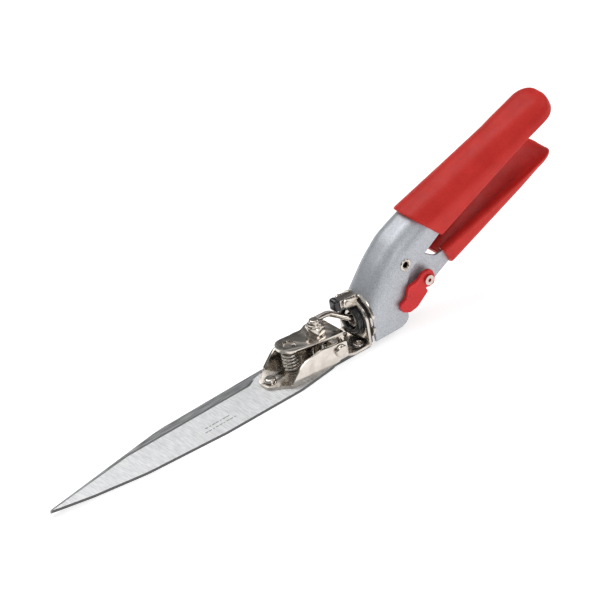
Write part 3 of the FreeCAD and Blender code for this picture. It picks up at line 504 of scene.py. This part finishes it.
def make_grip(node, closed, rim_line, shape):
    """Vinyl channel lofted between a closed line and a rim line, with a rounded rear end.

    Lines are pairs of (x, z) points in millimetres, front and rear. Over the rear end the
    rings shrink to almost nothing while they move on along the grip."""
    closed_front, closed_rear = (Vector((x, 0, z)) for x, z in closed)
    rim_front, rim_rear = (Vector((x, 0, z)) for x, z in rim_line)
    along = (closed_rear - closed_front).normalized()
    middle_rear = (closed_rear + rim_rear) / 2
    rings = []
    shares = [0, LIP_SHARE] + [step / shape["steps"] for step in range(1, shape["steps"] + 1)]
    for share in shares:
        rings.append((mix(closed_front, closed_rear, share), mix(rim_front, rim_rear, share), 1.0, share))
    for step in range(1, shape["end_steps"] + 1):
        angle = math.radians(END_SWEEP) * step / shape["end_steps"]
        size = math.cos(angle)
        fall = Vector((0, 0, shape["droop"] * (1 - size)))
        ahead = along * shape["end_length"] * math.sin(angle) - fall
        rings.append((middle_rear + (closed_rear - middle_rear) * size ** END_FALL + ahead,
                      middle_rear + (rim_rear - middle_rear) * size ** END_FALL + ahead,
                      size ** shape["end_blunt"], 1.0))
    work = bmesh.new()
    loops = []
    for number, (closed_point, rim_point, width, share) in enumerate(rings):
        depth = rim_point - closed_point
        inset = shape["lip"] if number == 0 else 0.0
        closed_point = closed_point + depth.normalized() * inset
        height = depth.length - inset
        tapered = shape["taper"] * eased((share - TAPER_START) / (1 - TAPER_START))
        narrowed = shape["waist"] * math.sin(math.pi * share) + tapered
        half = shape["half"] * width * (1 - narrowed) - inset
        start, filled = shape["scoop"]
        fade = eased((share - start) / (filled - start))
        rim = min(shape["rim"], height * RIM_SHARE) * mix(1.0, FILLED_RIM, fade)
        floor = mix(shape["floor"], height - rim, fade)
        section = channel_section(half, height, shape["wall"] * width, floor, shape["rounding"], rim)
        down = depth.normalized()
        loops.append([work.verts.new((closed_point + down * depth_in + Vector((0, across, 0))) * MM)
                      for across, depth_in in section])
    count = len(loops[0])
    for first, second in zip(loops, loops[1:]):
        for index in range(count):
            following = (index + 1) % count
            work.faces.new((first[index], first[following], second[following], second[index]))
    close_front(work, loops[0])
    work.faces.new(loops[-1])
    bmesh.ops.recalc_face_normals(work, faces=work.faces)
    for face in work.faces:
        face.smooth = True
    mesh = bpy.data.meshes.new(node + "_vinyl")
    work.to_mesh(mesh)
    work.free()
    piece = new_piece(node + "_vinyl", mesh, MATERIALS["red_vinyl"])
    smoothing = piece.modifiers.new("smooth", "SUBSURF")
    smoothing.levels = 1
    smoothing.render_levels = 1
    finish_piece(piece, BODY_OF[node], "red_vinyl", node)


def close_front(work, loop):
    """Fill the front of a channel with a strip of faces between its outside and its inside."""
    count = len(loop)
    left = CROWN - 1
    right = CROWN + 1
    work.faces.new((loop[left], loop[CROWN], loop[right]))
    while (left - right) % count > 1:
        next_left = (left - 1) % count
        next_right = (right + 1) % count
        if next_left == next_right:
            work.faces.new((loop[left], loop[right], loop[next_right]))
            break
        work.faces.new((loop[left], loop[right], loop[next_right], loop[next_left]))
        left, right = next_left, next_right


MARK_START = (62.0, 8.4)        # x and y of the first mark, near the blade's wide end
MARK_PITCH = 2.3
MARK_ROWS = 2
MARKS_IN_A_ROW = 9
MARK_ROW_PITCH = 3.0
MARK_PROUD = 0.015
MARK_RADIUS = 0.28
MARK_ROUND_STEPS = 6
DASH_LENGTH = 1.5
DOT_LENGTH = 0.5


def make_marks():
    """Two rows of plain dashes and dots etched in the moving blade's top face."""
    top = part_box("upper_blade")[1][2] / MM
    work = bmesh.new()
    for row in range(MARK_ROWS):
        for place in range(MARKS_IN_A_ROW - 2 * row):
            length = DASH_LENGTH if (place + row) % 3 else DOT_LENGTH
            centre_x = MARK_START[0] + MARK_PITCH * (place + row)
            centre_y = MARK_START[1] - MARK_ROW_PITCH * row
            outline = []
            for side, start in ((1, -90), (-1, 90)):
                outline += arc((centre_x + side * length / 2, centre_y), (MARK_RADIUS, MARK_RADIUS),
                               start, start + 180, MARK_ROUND_STEPS)
            rim = [work.verts.new(Vector((x, y, top + MARK_PROUD)) * MM) for x, y in outline]
            foot = [work.verts.new(Vector((x, y, top - MARK_PROUD)) * MM) for x, y in outline]
            work.faces.new(rim)
            for index in range(len(rim)):
                following = (index + 1) % len(rim)
                work.faces.new((foot[index], foot[following], rim[following], rim[index]))
            work.faces.new(foot[::-1])
    mesh = bpy.data.meshes.new("blade_marks")
    work.to_mesh(mesh)
    work.free()
    piece = new_piece("blade_marks", mesh, MATERIALS["etched_mark"])
    finish_piece(piece, BODY_OF["upper_blade"], "blade_steel")


# Corners of the lock lever as (x, z, radius).
LOCK_OUTLINE = [(-67.8, 22.6, 3.0), (-66.4, 27.6, 3.5), (-60.6, 27.6, 3.0), (-57.0, 24.9, 6.0),
                (-50.6, 24.0, 3.0), (-48.4, 18.0, 2.4), (-44.2, 16.4, 1.4), (-45.2, 11.8, 2.4),
                (-49.6, 9.7, 3.0), (-54.4, 10.4, 5.0), (-62.6, 16.2, 2.0), (-61.0, 18.8, 0.8),
                (-63.4, 18.2, 1.0), (-66.8, 18.6, 2.0)]
LOCK_EDGE = 0.7
LOCK_EDGE_STEPS = 4
LOCK_EDGE_ANGLE = 60
LOCK_ARC_STEPS = 9


def rounded_outline(corners, steps):
    """Closed outline through (x, z, radius) corners in millimetres, each corner an arc."""
    outline = []
    count = len(corners)
    for index, (x, z, radius) in enumerate(corners):
        corner = Vector((x, z))
        before = Vector(corners[index - 1][:2]) - corner
        after = Vector(corners[(index + 1) % count][:2]) - corner
        half = before.angle(after) / 2
        reach = min(radius / math.tan(half), before.length * 0.49, after.length * 0.49)
        entry = corner + before.normalized() * reach
        leave = corner + after.normalized() * reach
        for step in range(steps):
            share = step / (steps - 1)
            outline.append(entry * (1 - share) ** 2 + corner * 2 * share * (1 - share) + leave * share ** 2)
    return outline


def make_lock_lever():
    """Moulded lock lever: a plate with well rounded edges."""
    low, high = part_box("lock_lever")
    work = bmesh.new()
    outline = rounded_outline(LOCK_OUTLINE, LOCK_ARC_STEPS)
    inner = work.faces.new([work.verts.new((p.x * MM, low[1], p.y * MM)) for p in outline])
    extruded = bmesh.ops.extrude_face_region(work, geom=[inner])
    moved = [item for item in extruded["geom"] if isinstance(item, bmesh.types.BMVert)]
    bmesh.ops.translate(work, verts=moved, vec=(0, high[1] - low[1], 0))
    bmesh.ops.recalc_face_normals(work, faces=work.faces)
    for face in work.faces:
        face.smooth = True
    mesh = bpy.data.meshes.new("lock_lever_moulded")
    work.to_mesh(mesh)
    work.free()
    piece = new_piece("lock_lever_moulded", mesh, MATERIALS["red_plastic"])
    bevel = piece.modifiers.new("edges", "BEVEL")
    bevel.width = LOCK_EDGE * MM
    bevel.segments = LOCK_EDGE_STEPS
    bevel.limit_method = "ANGLE"
    bevel.angle_limit = math.radians(LOCK_EDGE_ANGLE)
    bevel.harden_normals = True
    finish_piece(piece, BODY_OF["lock_lever"], "red_plastic", "lock_lever")


make_camera()
make_world()
make_floor()
for light_name, place, size, power in LIGHTS:
    area_light(light_name, place, size, power)
bpy.context.scene.view_settings.view_transform = "Standard"

MATERIALS = make_materials()
for name, node in frame["nodes"].items():
    node.data.materials.clear()
    node.data.materials.append(MATERIALS[SLOT_OF[name]])

make_grip("upper_grip", UPPER_CLOSED, UPPER_RIM, UPPER_SHAPE)
make_grip("lower_grip", LOWER_CLOSED, LOWER_RIM, LOWER_SHAPE)
make_lock_lever()
make_marks()
for node, width in SOFTENED:
    softened(node, width * MM)
